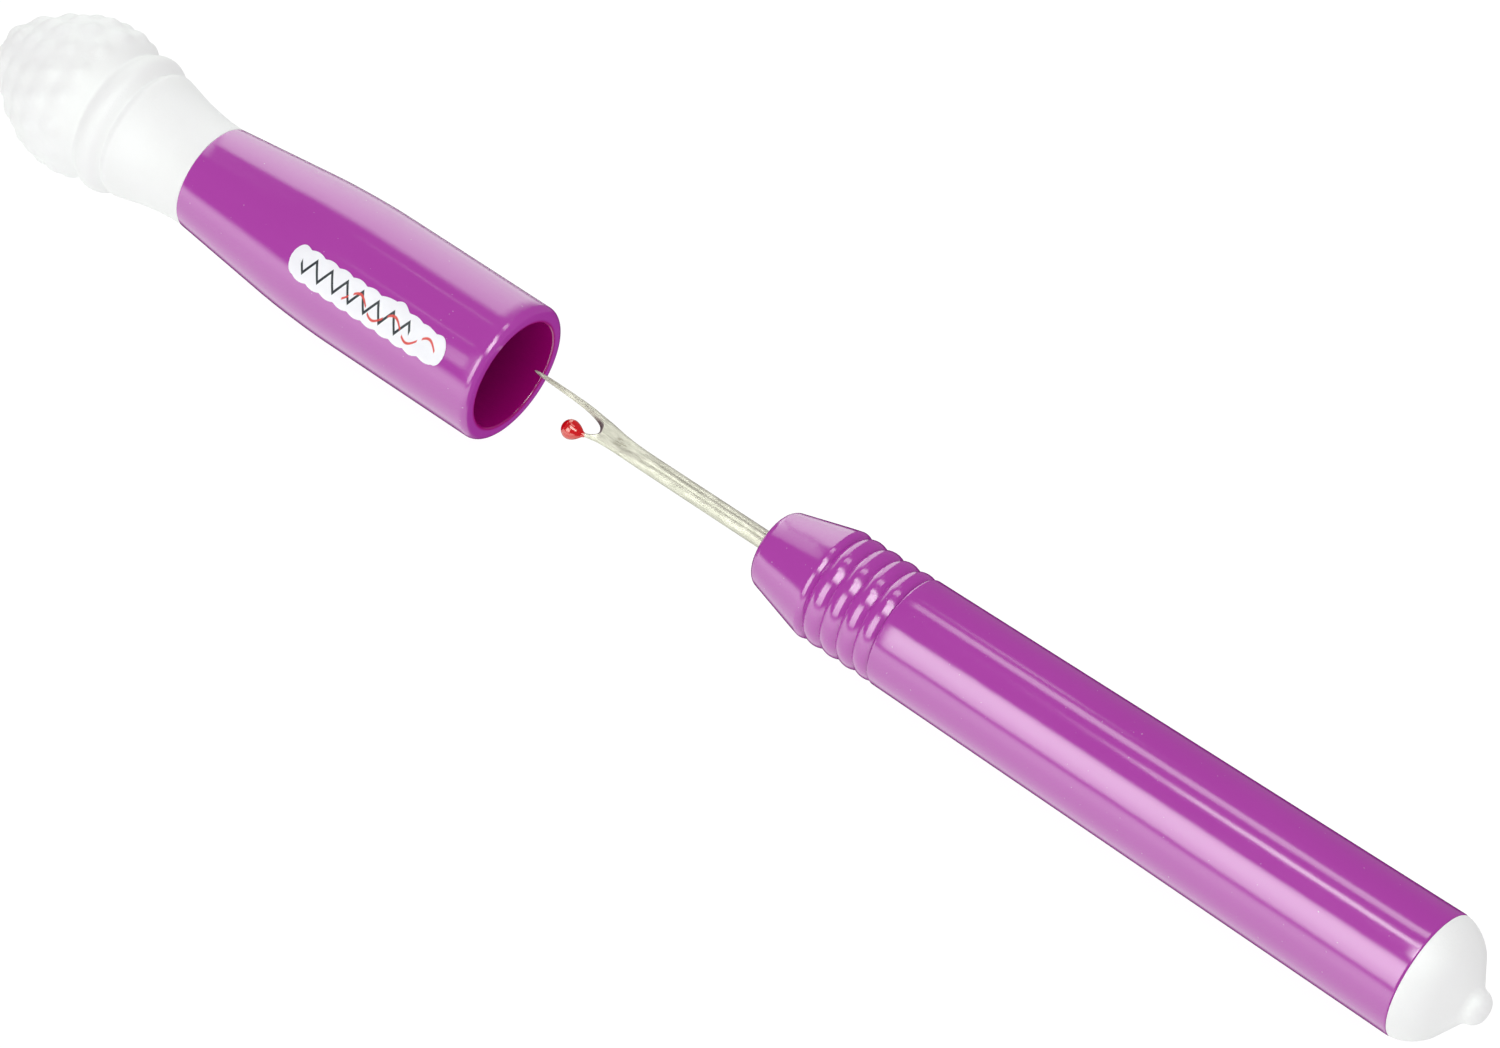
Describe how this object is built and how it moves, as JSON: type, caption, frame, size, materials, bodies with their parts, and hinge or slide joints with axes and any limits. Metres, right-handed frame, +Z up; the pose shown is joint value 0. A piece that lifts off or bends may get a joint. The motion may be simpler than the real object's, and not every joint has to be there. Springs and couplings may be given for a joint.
{
  "type": "seam ripper",
  "caption": "Hand tool for unpicking stitches: a forked steel blade with a red safety ball in a ribbed tapered handle, with a pull-off flared cap and soft white thread-rubbing ends.",
  "frame": {"origin": "on the surface the tool lies on, under the middle of its whole length with the cap pulled off", "axes": "+X along the common axis from the handle's rubber tail to the cap's rubber head, +Z up, fork flat in a horizontal plane with its ball towards +Y"},
  "size_m": [0.195, 0.0174, 0.0175],
  "materials": {
    "purple_plastic": "glossy purple moulded plastic",
    "nickel_steel": "nickel-plated steel with fine lengthwise grain",
    "red_plastic": "glossy red plastic bead",
    "plug_plastic": "unpolished natural plastic, hidden in use",
    "white_rubber": "matte white soft rubber",
    "label_paper": "gloss-laminated printed sticker"
  },
  "bodies": {
    "handle": {"handle_barrel": "purple_plastic", "blade": "nickel_steel", "safety_ball": "red_plastic", "tail_plug": "plug_plastic", "tail_tip": "white_rubber"},
    "cap": {"cap_shell": "purple_plastic", "cap_head": "white_rubber", "cap_label": "label_paper"}
  },
  "joints": [
    {"name": "cap_slide", "type": "slide", "parent": "handle", "child": "cap", "axis": [1, 0, 0], "range_m": [-0.05444, 0.02]}
  ]
}
